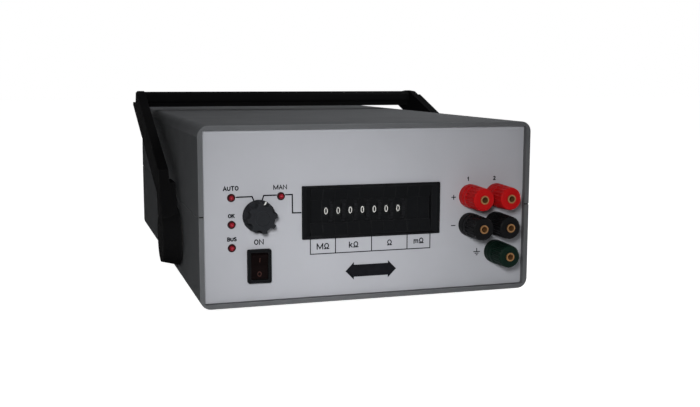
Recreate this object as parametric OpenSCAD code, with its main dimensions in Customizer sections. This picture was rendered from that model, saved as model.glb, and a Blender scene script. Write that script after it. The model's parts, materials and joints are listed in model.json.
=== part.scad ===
// Decade resistance box: instrument case with tilt handle, thumbwheel bank,
// selector, lamps, rocker switch and five binding posts.
// Millimetres, X to the right, Y to the back, Z up, standing on its feet at Z 0.

/* [Case] */
// outside width of the case
case_w = 222; // [200:1:250]
// outside height of the case, without the feet
case_h = 112.8; // [106:0.2:130]
// outside depth of the case, rim to rim
case_d = 348; // [300:1:400]
// wall of the shells
wall = 3; // [2.6:0.1:4]
// outer corner radius of the shells
corner_r = 6.8; // [5:0.2:10]
// height of the joint between the shells
seam_z = 57; // [50:0.5:62]
// distance from the rim back to the face of each panel
panel_recess = 3.9; // [3:0.1:6]
// thickness of both panels
panel_t = 2; // [1.5:0.1:3]
// how deep a panel edge sits in the wall
groove_d = 1.2; // [0.8:0.1:1.5]
// height of the rubber feet
foot_h = 4; // [2:0.5:6]
// radius of the rubber feet
foot_r = 8; // [6:0.5:10]

/* [Handle] */
// distance of the pivot behind the rim
pivot_y = 87; // [70:1:110]
// height of the pivot above the case bottom
pivot_z = 32; // [28:1:40]
// hub radius beside the case
hub_r = 20; // [18:0.5:24]
// hub radius at the outer face
hub_tip_r = 17; // [15:0.5:20]
// inner face of the arms from the case side
arm_gap = 6.6; // [5:0.2:8]
// thickness of the arms
arm_t = 7; // [6.5:0.5:9]
// radius of the pivot studs
pivot_r = 6; // [4:0.5:7]

/* [Thumbwheels] */
// sideways place of the bank's middle
bank_x = 0.8; // [-3:0.1:3]
// height of the bank's middle
bank_z = 57.1; // [55:0.1:60]
// width of one module
slot_w = 8.15; // [8:0.05:8.4]
// bezel width beside the modules
bezel_side = 5.6; // [4.5:0.1:7]
// height of the bezel
bezel_h = 33.8; // [32:0.1:38]
// how far the bezel stands out of the panel
bezel_out = 2; // [1.5:0.1:3]
// radius of a digit drum
drum_r = 9; // [8.6:0.1:9.3]
// radius of a thumb rim
rim_r = 12.3; // [12:0.1:12.6]
// radius of the common axle
axle_r = 1.5; // [1.2:0.1:2]

/* [Selector] */
// distance of the selector and of the rocker from the left side of the case
control_inset = 37.6; // [35:0.1:41]
// height of the selector
knob_z = 56.4; // [54:0.1:60]
// largest radius of the knob
knob_r = 10.2; // [9.6:0.1:11]
// length of the knob
knob_h = 14; // [12:0.5:18]
// radius of the selector shaft
shaft_r = 3; // [2.5:0.1:3.2]

/* [Rocker] */
// height of the rocker's middle
rocker_z = 25; // [22:0.5:28]
// bezel width of the rocker switch
rocker_w = 15.1; // [14:0.1:17]
// bezel height of the rocker switch
rocker_h = 21.3; // [20.5:0.1:24]
// tilt of the rocker to each side
rocker_tilt = 10; // [7:0.5:11]

/* [Posts] */
// distance between neighbouring posts
post_pitch = 19.05; // [18:0.05:22]
// distance of the left column from the right side of the case
post_inset = 41.6; // [39:0.1:45]
// height of the top row
post_z = 63.8; // [60:0.1:70]
// length of a post in front of the panel
post_len = 23.4; // [21:0.1:30]
// radius of a post's base
post_r = 7.9; // [7:0.1:8.5]
// radius of a post's stud
stud_r = 2.75; // [2.6:0.05:3.2]
// radius of the plug socket
socket_r = 2; // [1.9:0.05:2.1]

/* [Clearances] */
// radial running clearance of turning pieces
run_c = 0.05; // [0.02:0.01:0.08]
// gap between pieces that move past each other
move_c = 0.3; // [0.2:0.05:0.5]
// gap round pieces that are put together
fit_c = 0.2; // [0.1:0.05:0.3]

/* [Hidden] */
$fn = 64;
eps = 0.01;
half_w = case_w / 2;
side_in = half_w - wall;
opening_r = max(corner_r - 5.6, 0.4);
panel_r = opening_r + 2;
control_x = control_inset - half_w;
post_x = half_w - post_inset;
panel_back = panel_recess + panel_t;
rear_face = case_d - panel_recess;
rear_inner = rear_face - panel_t;
connector_out = 6;
tip_y = panel_recess - post_len;
y_shift = -(rear_face + connector_out + tip_y) / 2;

tongue_t = 1.2;
tongue_h = 2;
seam_reveal = 0.8;
seam_side = 0.3;
seam_rim = 1.2;
boss_r = 4.5;
boss_x = side_in - boss_r - 1.5;
boss_front_y = 22;
boss_ys = [boss_front_y, case_d - boss_front_y];
screw_r = 1.5;
screw_head_r = 3;
screw_head_h = 2;
case_seat_z = 40;
case_screw_l = 34;
foot_x = half_w - 26;
foot_ys = [34, case_d - 34];

board_z = 12;
board_t = 1.6;
board_x = -30;
board_w = 130;
board_y = 70;
board_l = 220;
board_edge = 6;
board_holes = [for (x = [-1, 1]) for (y = [board_edge, board_l - board_edge])
    [board_x + x * (board_w / 2 - board_edge), board_y + y]];
board_rows = 7;
board_cols = 9;
relay_cols = 4;
relay = [10, 20, 11];
resistor = [5, 16, 9];
transformer_core = [56, 18, 46];
transformer_coil = [38, 38, 30];
transformer_z = 5;
transformer_hole_x = 22;
vent_w = 3;
vent_l = 40;
vent_pitch = 9;

washer_t = 1;
washer_r = 14;
hub_in = half_w + washer_t + move_c;
arm_in = half_w + arm_gap;
arm_out = arm_in + arm_t;
neck_in = hub_in + 1.2;
hub_floor = arm_out - 6;
cap_seat = arm_out - 3;
flange_r = 9;
flange_t = 2;
cap_r = 11;
pivot_end = hub_floor + move_c;
pivot_hole_r = 2;
pivot_screw_l = 10;
pivot_flange_r = 10;
pivot_flange_t = 3;

grip_y = pivot_y + 156;
grip_w = 20;
grip_t = 9;
grip_rib = [13, 6];
grip_round = 3;
grip_rise = 3.4;
grip_base = max(pivot_z + 84, case_h + 3);
grip_screw_y = grip_y + grip_w / 2;
grip_screw_z = grip_base + grip_rise + grip_t / 2;
grip_screw_r = 2;
grip_head_r = 3.4;
grip_head_h = 2.5;
grip_screw_l = 16;
end_inset = 2;
grip_seat = arm_out - end_inset - grip_head_h - 0.5;
arm_profile = [
    [-10, 15], [4, 46], [154, 96.6], [166, 97.2], [183, 95.5],
    [189, 85], [17, 29.3], [11, 14]
];
neck_profile = [[-10, 15], [0.2, 37.5], [24, 37.5], [24, 31.6], [17, 29.3], [11, 14]];

slots = 10;
first_wheel = 1;
wheels = 7;
bank_w = slots * slot_w;
bank_gap = 0.25;
well_w = bank_w + 2 * bank_gap;
bezel_w = well_w + 2 * bezel_side;
bezel_lip = 1.4;
well_h = bezel_h - 2 * bezel_lip;
sleeve = 0.9;
module_h = well_h - 2 * bank_gap;
module_gap = 0.15;
module_w = slot_w - module_gap;
bezel_y = panel_recess - bezel_out;
face_y = bezel_y + 1;
floor_y = bezel_y + 4.8;
band_h = 14.6;
face_slope = 2.4;
end_bevel_w = 3.2;
end_bevel_d = 1.6;
plate_t = 0.8;
drum_gap = 0.4;
axle_y = floor_y + plate_t + drum_gap + drum_r;
rim_gap = 0.6;
side_t = 0.7;
wheel_w = module_w - 2 * side_t - 2 * move_c;
rim_w = 2.3;
drum_w = wheel_w - rim_w;
window_edge = 0.1;
window_w = drum_w - 2 * window_edge;
window_h = 5.8;
module_back = axle_y + rim_r + rim_gap + 1.4;
tie_r = 1.2;
tie_y = axle_y + 9.4;
tie_z = 12.6;
teeth = 20;
contact_t = 1.6;

knob_gap = 0.6;
nut_r = 6.6;
nut_h = 2.4;
bush_r = 4.7;
bush_l = 5;
knob_hollow_r = 7.2;
knob_hollow = 5.6;
knob_top_r = knob_r - 0.8;
knob_cap_r = knob_top_r - 4.6;
knob_cap_t = 1.8;
flutes = 8;
flute_r = 2.4;
flute_out = 0.3;
flute_phase = 31.3;
knob_skirt = 4;
rotary_w = 23;
rotary_l = 16;
shaft_in = 8;

rocker_lip = 2.6;
rocker_wall = 0.9;
rocker_body_w = rocker_w - 2.1;
rocker_body_h = rocker_h - 2.1;
paddle_r = rocker_body_h / 2 - rocker_wall - move_c;
paddle_w = rocker_body_w - 2 * rocker_wall - 2 * move_c;
paddle_face = 1.3;
paddle_rear = 5;
rocker_pin_r = 1;
rocker_deep = 20;
rocker_floor = 7.4;
blade = [4.8, 0.8, 8];
blade_pitch = 6;

lamp_x = control_x - 16.9;
lamps = [[lamp_x, 68.2], [lamp_x + 31.3, 68.2], [lamp_x, 51.5], [lamp_x, 37]];
lamp_r = 1.5;
lamp_ring_r = 2.6;
lamp_sleeve_r = 2.1;
lamp_ring_h = 1;
lamp_sleeve_l = 3;

posts = [
    [post_x, post_z],
    [post_x + post_pitch, post_z],
    [post_x, post_z - post_pitch],
    [post_x + post_pitch, post_z - post_pitch],
    [post_x + post_pitch, post_z - 2 * post_pitch]
];
base_l = 5.6;
collar_r = 4.5;
ring_r = 6;
ring_t = 1.5;
cap_skirt = 0.5;
cap_base_r = post_r - 0.1;
cap_tip_r = post_r - 0.5;
edge_r = 0.3;
cap_end = post_len - 1;
cap_run_c = run_c + 0.03;
cross_r = 1.2;
cross_u = base_l + 1.6;
socket_l = post_len - cross_u - cross_r - 0.2;
rear_bush_r = 7;
rear_bush_l = 3;
post_nut_r = 5.8;
post_nut_h = 4;
stud_tail = 14;
cap_flutes = 18;
cap_flute_r = 1;
cap_flute_sink = 0.75;
cap_plain = 4;

inlet_x = 68;
inlet_z = 34;
inlet_flange = [50, 23, 2.5];
inlet_body = [27.2, 20, 18];
inlet_cavity = [24.4, 16.8, 16];
inlet_pins_xy = [[-7, 2], [0, -2], [7, 2]];
inlet_hole_x = 20;
plug_x = -38;
plug_z = 62;
plug_flange = [66, 18, 1.2];
plug_body = [58, 14, 12];
plug_shell = [50, 11];
transformer_at = [68, 250];
logic = [110, board_t, 42];
logic_drop = 32;
chips = 5;
chip = [14, 4, 8];
chip_pitch = 20;

// rounded rectangle that stands on the X axis, made of plain squares and circles
module slab(w, h, r) {
    translate([-w / 2 + r, 0]) square([w - 2 * r, h]);
    translate([-w / 2, r]) square([w, h - 2 * r]);
    for (x = [-1, 1]) for (y = [r, h - r]) translate([x * (w / 2 - r), y]) circle(r);
}

// a flat shape in X and Z, drawn out along Y
module along_y(y0, y1) {
    translate([0, y1, 0]) rotate([90, 0, 0]) linear_extrude(y1 - y0) children();
}

// a flat shape in Y and Z, drawn out along X
module along_x(x0, x1) {
    translate([x0, 0, 0]) rotate([90, 0, 90]) linear_extrude(x1 - x0) children();
}

// stands children out of the front panel, their Z pointing to the viewer
module on_front(x, z) {
    translate([x, panel_recess, z]) rotate([90, 0, 0]) children();
}

// stands children out of the rear panel, their Z pointing away from the case
module on_rear(x, z) {
    translate([x, rear_face, z]) rotate([-90, 0, 0]) children();
}

// lays children along X on the pivot line, their Z pointing outwards
module on_pivot(side) {
    translate([0, pivot_y, pivot_z]) rotate([0, side * 90, 0]) children();
}

module tube(r, hole, z0, z1) {
    difference() {
        translate([0, 0, z0]) cylinder(r = r, h = z1 - z0);
        translate([0, 0, z0 - 1]) cylinder(r = hole, h = z1 - z0 + 2);
    }
}

// pan-head screw, head underside at Z 0, shank going down
module screw(r, length, head_r, head_h) {
    difference() {
        union() {
            translate([0, 0, -length]) cylinder(r = r, h = length + eps);
            cylinder(r = head_r, h = head_h * 0.55);
            translate([0, 0, head_h * 0.55 - eps]) cylinder(r1 = head_r, r2 = head_r * 0.6, h = head_h * 0.45);
        }
        for (a = [0, 90]) rotate(a) translate([-head_r * 0.55, -0.4, head_h * 0.5]) cube([head_r * 1.1, 0.8, head_h]);
    }
}

module outline(inset, r) {
    translate([0, inset]) slab(case_w - 2 * inset, case_h - 2 * inset, r);
}

// what both shells share: the ring of the wall, without the panel grooves
module shell_wall(z0, z1) {
    difference() {
        along_y(0, case_d) intersection() {
            difference() {
                outline(0, corner_r);
                outline(wall, opening_r);
            }
            translate([-half_w, z0]) square([case_w, z1 - z0]);
        }
        for (y = [panel_recess, rear_inner - fit_c])
            along_y(y, y + panel_t + fit_c) outline(wall - groove_d, panel_r + fit_c);
    }
}

module tongue(spread) {
    for (x = [-1, 1])
        translate([x * (side_in + tongue_t / 2) - tongue_t / 2 - spread, seam_z - eps])
            square([tongue_t + 2 * spread, tongue_h + spread]);
}

module boss_places() {
    for (x = [-1, 1]) for (y = boss_ys) translate([x * boss_x, y, 0]) children();
}

module upper_shell() {
    color([0.42, 0.44, 0.47]) difference() {
        union() {
            shell_wall(seam_z, case_h);
            boss_places() translate([0, 0, seam_z]) cylinder(r = boss_r, h = case_h - seam_z - wall / 2);
        }
        along_y(panel_back + 1, rear_inner - 1) tongue(fit_c);
        for (x = [-1, 1]) translate([x * half_w - seam_side, -1, seam_z - 1])
            cube([2 * seam_side, case_d + 2, 1 + seam_reveal]);
        for (y = [0, case_d]) translate([-half_w, y - seam_rim, seam_z - 1])
            cube([case_w, 2 * seam_rim, 1 + seam_reveal]);
        boss_places() translate([0, 0, seam_z - 1]) cylinder(r = screw_r, h = case_screw_l - seam_z + case_seat_z + 2);
    }
}

module lower_shell() {
    color([0.42, 0.44, 0.47]) difference() {
        union() {
            shell_wall(0, seam_z);
            along_y(panel_back + 1 + fit_c, rear_inner - 1 - fit_c) tongue(0);
            boss_places() translate([0, 0, wall / 2]) cylinder(r = boss_r, h = seam_z - wall / 2);
            for (p = board_holes) translate([p[0], p[1], wall / 2]) cylinder(r = 4, h = board_z - wall / 2);
            transformer_bosses();
        }
        boss_places() translate([0, 0, -1]) cylinder(r = screw_head_r + 0.4, h = case_seat_z + 1);
        boss_places() cylinder(r = screw_r + fit_c, h = seam_z + 1);
        for (p = board_holes) translate([p[0], p[1], wall + 1]) cylinder(r = screw_r, h = board_z);
        for (x = [-1, 1]) on_pivot(x) translate([0, 0, side_in - 1]) cylinder(r = pivot_r, h = wall + 2);
        for (k = [-6:6]) translate([k * vent_pitch - vent_w / 2, case_d / 2 - vent_l / 2, -1])
            cube([vent_w, vent_l, wall + 2]);
    }
}

module front_panel() {
    color([0.70, 0.72, 0.76]) difference() {
        along_y(panel_recess, panel_back) outline(wall - groove_d + fit_c, panel_r);
        along_y(0, panel_back + 1) {
            translate([bank_x, bank_z - well_h / 2 - sleeve - fit_c / 2])
                translate([-well_w / 2 - sleeve - fit_c / 2, 0])
                    square([well_w + 2 * sleeve + fit_c, well_h + 2 * sleeve + fit_c]);
            translate([control_x - rocker_body_w / 2 - fit_c / 2, rocker_z - rocker_body_h / 2 - fit_c / 2])
                square([rocker_body_w + fit_c, rocker_body_h + fit_c]);
        }
        on_front(control_x, knob_z) translate([0, 0, -panel_t - 1]) cylinder(r = bush_r + fit_c / 2, h = panel_t + 2);
        for (p = lamps) on_front(p[0], p[1])
            translate([0, 0, -panel_t - 1]) cylinder(r = lamp_sleeve_r + fit_c / 2, h = panel_t + 2);
        for (p = posts) on_front(p[0], p[1])
            translate([0, 0, -panel_t - 1]) cylinder(r = collar_r + fit_c / 2, h = panel_t + 2);
    }
}

module rear_panel() {
    color([0.70, 0.72, 0.76]) difference() {
        along_y(rear_inner, rear_face) outline(wall - groove_d + fit_c, panel_r);
        on_rear(inlet_x, inlet_z) {
            translate([0, 0, -1]) cube([inlet_body[0] + fit_c, inlet_body[1] + fit_c, 2 * panel_t + 4], center = true);
            for (x = [-1, 1]) translate([x * inlet_hole_x, 0, -panel_t - 1]) cylinder(r = screw_r, h = panel_t + 2);
        }
        on_rear(plug_x, plug_z)
            translate([0, 0, -1]) cube([plug_body[0] + fit_c, plug_body[1] + fit_c, 2 * panel_t + 4], center = true);
    }
}

module rubber_feet() {
    color([0.06, 0.06, 0.06])
        for (x = [-1, 1]) for (y = foot_ys)
            translate([x * foot_x, y, -foot_h]) cylinder(r1 = foot_r - 0.8, r2 = foot_r, h = foot_h);
}

module machine_screws() {
    color([0.6, 0.6, 0.62]) {
        boss_places() translate([0, 0, case_seat_z]) mirror([0, 0, 1])
            screw(screw_r, case_screw_l, screw_head_r, screw_head_h);
        for (p = board_holes) translate([p[0], p[1], board_z + board_t])
            screw(screw_r, 8, screw_head_r, screw_head_h);
        on_rear(inlet_x, inlet_z) for (x = [-1, 1]) translate([x * inlet_hole_x, 0, inlet_flange[2]])
            screw(screw_r, 8, screw_head_r, screw_head_h);
    }
}

// one plate of an arm, from the given inner face to the outer face
module arm_plate(side, inner, profile) {
    translate([side > 0 ? 0 : -inner - arm_out, 0, 0]) along_x(inner, arm_out)
        translate([pivot_y, pivot_z]) polygon(profile);
}

module arm(side) {
    color([0.05, 0.05, 0.055]) difference() {
        union() {
            on_pivot(side) translate([0, 0, hub_in]) cylinder(r1 = hub_r, r2 = hub_tip_r, h = arm_out - hub_in);
            arm_plate(side, arm_in, arm_profile);
            arm_plate(side, neck_in, neck_profile);
        }
        on_pivot(side) {
            translate([0, 0, hub_in - 1]) cylinder(r = pivot_r + run_c, h = arm_out);
            translate([0, 0, hub_floor]) cylinder(r = flange_r + 0.4, h = arm_t);
            translate([0, 0, cap_seat]) cylinder(r = cap_r, h = arm_t);
        }
        translate([0, grip_screw_y, grip_screw_z]) rotate([0, side * 90, 0]) {
            translate([0, 0, arm_in - 1]) cylinder(r = grip_screw_r, h = arm_t + 2);
            translate([0, 0, grip_seat]) cylinder(r = grip_head_r + fit_c, h = arm_t);
        }
        translate([side * (arm_out + 0.5 - end_inset / 2), grip_y + grip_w, grip_base + grip_rise + grip_t])
            cube([end_inset + 1, 3 * grip_w, 2 * grip_t], center = true);
    }
}

module handle_arm_left() {
    arm(-1);
}

module handle_arm_right() {
    arm(1);
}

module handle_grip() {
    color([0.05, 0.05, 0.055]) difference() {
        union() {
            along_x(-arm_in, arm_in) translate([grip_y + grip_w / 2, grip_base + grip_rise])
                slab(grip_w, grip_t, grip_round);
            along_x(-arm_in, arm_in) translate([grip_y + (grip_w - grip_rib[0]) / 2, grip_base])
                square(grip_rib);
        }
        for (x = [-1, 1]) translate([0, grip_screw_y, grip_screw_z]) rotate([0, x * 90, 0])
            translate([0, 0, grip_seat - grip_screw_l - 1]) cylinder(r = grip_screw_r, h = arm_out);
    }
}

module grip_screws() {
    color([0.15, 0.15, 0.16])
        for (x = [-1, 1]) translate([0, grip_screw_y, grip_screw_z]) rotate([0, x * 90, 0])
            translate([0, 0, grip_seat]) screw(grip_screw_r, grip_screw_l, grip_head_r, grip_head_h);
}

module pivot_studs() {
    color([0.6, 0.6, 0.62])
        for (x = [-1, 1]) on_pivot(x) difference() {
            union() {
                translate([0, 0, side_in - pivot_flange_t]) cylinder(r = pivot_flange_r, h = pivot_flange_t);
                translate([0, 0, side_in - eps]) cylinder(r = pivot_r, h = pivot_end - side_in + eps);
            }
            translate([0, 0, pivot_end - pivot_screw_l - 2]) cylinder(r = pivot_hole_r, h = pivot_screw_l + 4);
        }
}

module pivot_washers() {
    color([0.2, 0.2, 0.2]) for (x = [-1, 1]) on_pivot(x) tube(washer_r, pivot_r, half_w, half_w + washer_t);
}

module pivot_screws() {
    color([0.6, 0.6, 0.62])
        for (x = [-1, 1]) on_pivot(x) translate([0, 0, pivot_end]) screw(pivot_hole_r, pivot_screw_l, flange_r, flange_t);
}

module hub_caps() {
    color([0.07, 0.07, 0.075])
        for (x = [-1, 1]) on_pivot(x) {
            translate([0, 0, cap_seat]) cylinder(r = cap_r, h = arm_out - cap_seat - 0.8);
            translate([0, 0, arm_out - 0.8 - eps]) cylinder(r1 = cap_r, r2 = cap_r - 0.8, h = 0.8);
        }
}

module bank_axis(z = 0) {
    translate([bank_x, axle_y, bank_z + z]) rotate([0, 90, 0]) children();
}

module rod(r, y, z, x0, x1) {
    translate([x0, y, z]) rotate([0, 90, 0]) cylinder(r = r, h = x1 - x0);
}

module tie_places() {
    for (z = [-1, 1]) translate([bank_x, tie_y, bank_z + z * tie_z]) children();
}

// a box that is centred on the bank in X and Z
module bank_box(w, h, y0, y1) {
    translate([bank_x - w / 2, y0, bank_z - h / 2]) cube([w, y1 - y0, h]);
}

// the slope cut into one end of the bezel, down to the modules
module end_bevel(side) {
    inner = side * (well_w / 2 - 1);
    outer = side * (well_w / 2 + end_bevel_w);
    translate([bank_x, bezel_y, bank_z - well_h / 2]) linear_extrude(well_h) polygon([
        [outer, 0], [side * well_w / 2, end_bevel_d], [inner, end_bevel_d], [inner, -1], [outer, -1]
    ]);
}

module thumbwheel_bezel() {
    color([0.04, 0.04, 0.045]) difference() {
        union() {
            bank_box(bezel_w, bezel_h, bezel_y, panel_recess);
            bank_box(well_w + 2 * sleeve, well_h + 2 * sleeve, panel_recess - eps, panel_back + 3);
            for (x = [-1, 1]) translate([x * (well_w / 2 + sleeve / 2), 0, 0])
                bank_box(sleeve, well_h, panel_back, module_back);
            for (x = [-1, 1]) translate([x * (well_w / 2 + sleeve + 0.5), 0, 0])
                bank_box(1 + 2 * eps, 10, panel_back, panel_back + 3);
        }
        bank_box(well_w, well_h, 0, module_back + 1);
        for (x = [-1, 1]) end_bevel(x);
        bank_axis() translate([0, 0, -bezel_w]) cylinder(r = axle_r, h = 2 * bezel_w);
        tie_places() rotate([0, 90, 0]) translate([0, 0, -bezel_w]) cylinder(r = tie_r, h = 2 * bezel_w);
    }
}

function slot_x(k) = bank_x - bank_w / 2 + (k + 0.5) * slot_w;

// the outside of a module: faces that slope in to the sunk finger band
module module_block(k) {
    top = module_h / 2;
    edge = band_h / 2;
    difference() {
        along_x(slot_x(k) - module_w / 2, slot_x(k) + module_w / 2) translate([0, bank_z]) polygon([
            [module_back, -top], [face_y, -top], [face_y + face_slope, -edge], [floor_y, -edge],
            [floor_y, edge], [face_y + face_slope, edge], [face_y, top], [module_back, top]
        ]);
        rod(axle_r, axle_y, bank_z, slot_x(k) - slot_w, slot_x(k) + slot_w);
        for (z = [-1, 1]) rod(tie_r, tie_y, bank_z + z * tie_z, slot_x(k) - slot_w, slot_x(k) + slot_w);
    }
}

module wheel_housing(k) {
    left = slot_x(k) - wheel_w / 2;
    difference() {
        module_block(k);
        rod(drum_r + drum_gap, axle_y, bank_z, left - move_c, left + wheel_w + move_c);
        rod(rim_r + rim_gap, axle_y, bank_z, left + drum_w - move_c, left + wheel_w + move_c);
        translate([left + window_edge, floor_y - 1, bank_z - window_h / 2]) cube([window_w, plate_t + 2, window_h]);
    }
}

module wheel_housings() {
    color([0.05, 0.05, 0.055]) for (k = [first_wheel:first_wheel + wheels - 1]) wheel_housing(k);
}

module blank_modules() {
    color([0.05, 0.05, 0.055]) for (k = [0, slots - 2, slots - 1]) module_block(k);
}

module digit_wheel(n) {
    left = slot_x(first_wheel + n - 1) - wheel_w / 2;
    color([0.08, 0.08, 0.085]) difference() {
        union() {
            rod(drum_r, axle_y, bank_z, left, left + drum_w + eps);
            rod(rim_r, axle_y, bank_z, left + drum_w, left + wheel_w);
        }
        rod(axle_r + run_c, axle_y, bank_z, left - 1, left + wheel_w + 1);
        translate([left + drum_w, axle_y, bank_z]) rotate([0, 90, 0])
            for (a = [0:teeth - 1]) rotate((a + 0.5) * 360 / teeth)
                translate([rim_r + 0.5, 0, -eps]) cylinder(r = 1.3, h = rim_w + 2);
    }
}

module digit_wheel_1() {
    digit_wheel(1);
}

module digit_wheel_2() {
    digit_wheel(2);
}

module digit_wheel_3() {
    digit_wheel(3);
}

module digit_wheel_4() {
    digit_wheel(4);
}

module digit_wheel_5() {
    digit_wheel(5);
}

module digit_wheel_6() {
    digit_wheel(6);
}

module digit_wheel_7() {
    digit_wheel(7);
}

module wheel_axle() {
    color([0.7, 0.7, 0.72])
        rod(axle_r, axle_y, bank_z, bank_x - well_w / 2 - sleeve, bank_x + well_w / 2 + sleeve);
}

module tie_rods() {
    reach = well_w / 2 + sleeve;
    color([0.6, 0.6, 0.62])
        tie_places() rotate([0, 90, 0]) {
            translate([0, 0, -reach - eps]) cylinder(r = tie_r, h = 2 * reach + 2 * eps);
            for (x = [-1, 1]) translate([0, 0, x * (reach + 0.75) - 0.75]) cylinder(r = 2.2, h = 1.5);
        }
}

module switch_boards() {
    color([0.1, 0.32, 0.16])
        for (k = [first_wheel:first_wheel + wheels - 1])
            translate([slot_x(k) - module_w / 2 + 0.6, module_back, bank_z - module_h / 2 + 3])
                cube([module_w - 1.2, contact_t, module_h - 6]);
}

module selector_knob() {
    color([0.05, 0.05, 0.055]) on_front(control_x, knob_z) difference() {
        translate([0, 0, knob_gap]) cylinder(r1 = knob_r, r2 = knob_top_r, h = knob_h - knob_gap - 1);
        for (a = [0:flutes - 1]) rotate(a * 360 / flutes + flute_phase)
            translate([knob_top_r + flute_out, 0, knob_skirt]) cylinder(r = flute_r, h = knob_h);
        cylinder(r = knob_hollow_r, h = nut_h + 2 * move_c);
        cylinder(r = bush_r + move_c, h = knob_hollow);
        cylinder(r = shaft_r, h = knob_h - knob_cap_t - 1);
        translate([0, 0, knob_h - knob_cap_t]) cylinder(r = knob_cap_r, h = knob_cap_t);
    }
}

module knob_cap() {
    color([0.08, 0.08, 0.085]) on_front(control_x, knob_z) {
        translate([0, 0, knob_h - knob_cap_t]) cylinder(r = knob_cap_r, h = knob_cap_t - 0.6);
        translate([0, 0, knob_h - 0.6 - eps]) cylinder(r1 = knob_cap_r, r2 = knob_cap_r - 1, h = 0.6);
    }
}

module selector_shaft() {
    color([0.7, 0.7, 0.72]) on_front(control_x, knob_z)
        translate([0, 0, -panel_t - shaft_in]) cylinder(r = shaft_r, h = panel_t + shaft_in + knob_h - knob_cap_t - 1);
}

module selector_switch() {
    color([0.5, 0.5, 0.52]) on_front(control_x, knob_z) difference() {
        union() {
            translate([0, 0, -panel_t - rotary_l / 2]) cube([rotary_w, rotary_w, rotary_l], center = true);
            translate([0, 0, -panel_t - eps]) cylinder(r = bush_r, h = panel_t + bush_l + eps);
        }
        translate([0, 0, -panel_t - shaft_in - move_c]) cylinder(r = shaft_r + run_c, h = knob_h + shaft_in);
    }
}

module selector_nut() {
    color([0.7, 0.7, 0.72]) on_front(control_x, knob_z) difference() {
        cylinder(r = nut_r, h = nut_h, $fn = 6);
        translate([0, 0, -1]) cylinder(r = bush_r, h = nut_h + 2);
    }
}

// the rocker seen from the side: round ends about the pivot, a shallow V in front
module paddle_profile() {
    reach = paddle_r + 1;
    swing = reach * tan(rocker_tilt);
    intersection() {
        circle(paddle_r);
        polygon([
            [-paddle_face, 0], [-paddle_face - swing, reach], [paddle_rear, reach],
            [paddle_rear, -reach], [-paddle_face - swing, -reach]
        ]);
    }
}

module power_rocker() {
    color([0.04, 0.04, 0.045]) translate([control_x, panel_recess, rocker_z]) rotate([rocker_tilt, 0, 0]) {
        along_x(-paddle_w / 2, paddle_w / 2) paddle_profile();
        rod(rocker_pin_r, 0, 0, -paddle_w / 2 - 0.9, paddle_w / 2 + 0.9);
    }
}

module power_switch() {
    hollow_w = rocker_body_w - 2 * rocker_wall;
    hollow_h = rocker_body_h - 2 * rocker_wall;
    color([0.05, 0.05, 0.055]) on_front(control_x, rocker_z) difference() {
        union() {
            linear_extrude(rocker_lip) translate([0, -rocker_h / 2]) slab(rocker_w, rocker_h, 1.2);
            translate([0, 0, -rocker_deep / 2 + eps]) cube([rocker_body_w, rocker_body_h, rocker_deep], center = true);
            for (k = [-1:1]) translate([0, k * blade_pitch, eps - rocker_deep - blade[2] / 2]) cube(blade, center = true);
        }
        translate([-hollow_w / 2, -hollow_h / 2, -rocker_floor]) cube([hollow_w, hollow_h, rocker_deep]);
        rotate([0, 90, 0]) translate([0, 0, -rocker_w / 2 + 1]) cylinder(r = rocker_pin_r + run_c, h = rocker_w - 2);
    }
}

module lamp_holders() {
    color([0.03, 0.03, 0.03]) for (p = lamps) on_front(p[0], p[1]) difference() {
        union() {
            cylinder(r1 = lamp_ring_r, r2 = lamp_ring_r - 0.4, h = lamp_ring_h);
            translate([0, 0, -panel_t - lamp_sleeve_l]) cylinder(r = lamp_sleeve_r, h = panel_t + lamp_sleeve_l + eps);
        }
        translate([0, 0, -panel_t - lamp_sleeve_l - 1]) cylinder(r = lamp_r + run_c, h = panel_t + lamp_sleeve_l + 4);
    }
}

module lamp_lenses() {
    color([0.55, 0.03, 0.06]) for (p = lamps) on_front(p[0], p[1]) {
        translate([0, 0, -panel_t - lamp_sleeve_l - 1]) cylinder(r = lamp_r + 0.4, h = 1);
        translate([0, 0, -panel_t - lamp_sleeve_l - eps]) cylinder(r = lamp_r, h = panel_t + lamp_sleeve_l + lamp_ring_h);
        translate([0, 0, lamp_ring_h - eps]) sphere(r = lamp_r);
    }
}

module post_place(i) {
    on_front(posts[i][0], posts[i][1]) children();
}

module post_base(i) {
    post_place(i) difference() {
        union() {
            cylinder(r = post_r, h = base_l - edge_r);
            translate([0, 0, base_l - edge_r - eps]) cylinder(r1 = post_r, r2 = post_r - edge_r, h = edge_r + eps);
            translate([0, 0, -panel_t]) cylinder(r = collar_r, h = panel_t + eps);
        }
        translate([0, 0, -panel_t - 1]) cylinder(r = stud_r, h = panel_t + base_l + 2);
    }
}

module red_post_bases() {
    color([0.6, 0.04, 0.05]) for (i = [0, 1]) post_base(i);
}

module black_post_bases() {
    color([0.04, 0.04, 0.045]) for (i = [2, 3]) post_base(i);
}

module green_post_base() {
    color([0.02, 0.12, 0.06]) post_base(4);
}

module post_cap(i, shade) {
    ring_z = base_l + move_c;
    skirt_z = base_l + cap_skirt;
    color(shade) post_place(i) difference() {
        rotate_extrude() polygon([
            [0, skirt_z], [cap_base_r - edge_r, skirt_z], [cap_base_r, skirt_z + edge_r],
            [cap_tip_r, cap_end - 4 * edge_r], [cap_tip_r - edge_r, cap_end - 1.5 * edge_r],
            [cap_tip_r - 3 * edge_r, cap_end], [0, cap_end]
        ]);
        cylinder(r = stud_r + cap_run_c, h = post_len + 1);
        cylinder(r = ring_r + move_c, h = ring_z + ring_t + run_c);
        for (a = [0:cap_flutes - 1]) rotate(a * 360 / cap_flutes)
            translate([cap_base_r + cap_flute_r - cap_flute_sink, 0, skirt_z + cap_plain])
                cylinder(r = cap_flute_r, h = post_len);
    }
}

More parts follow.
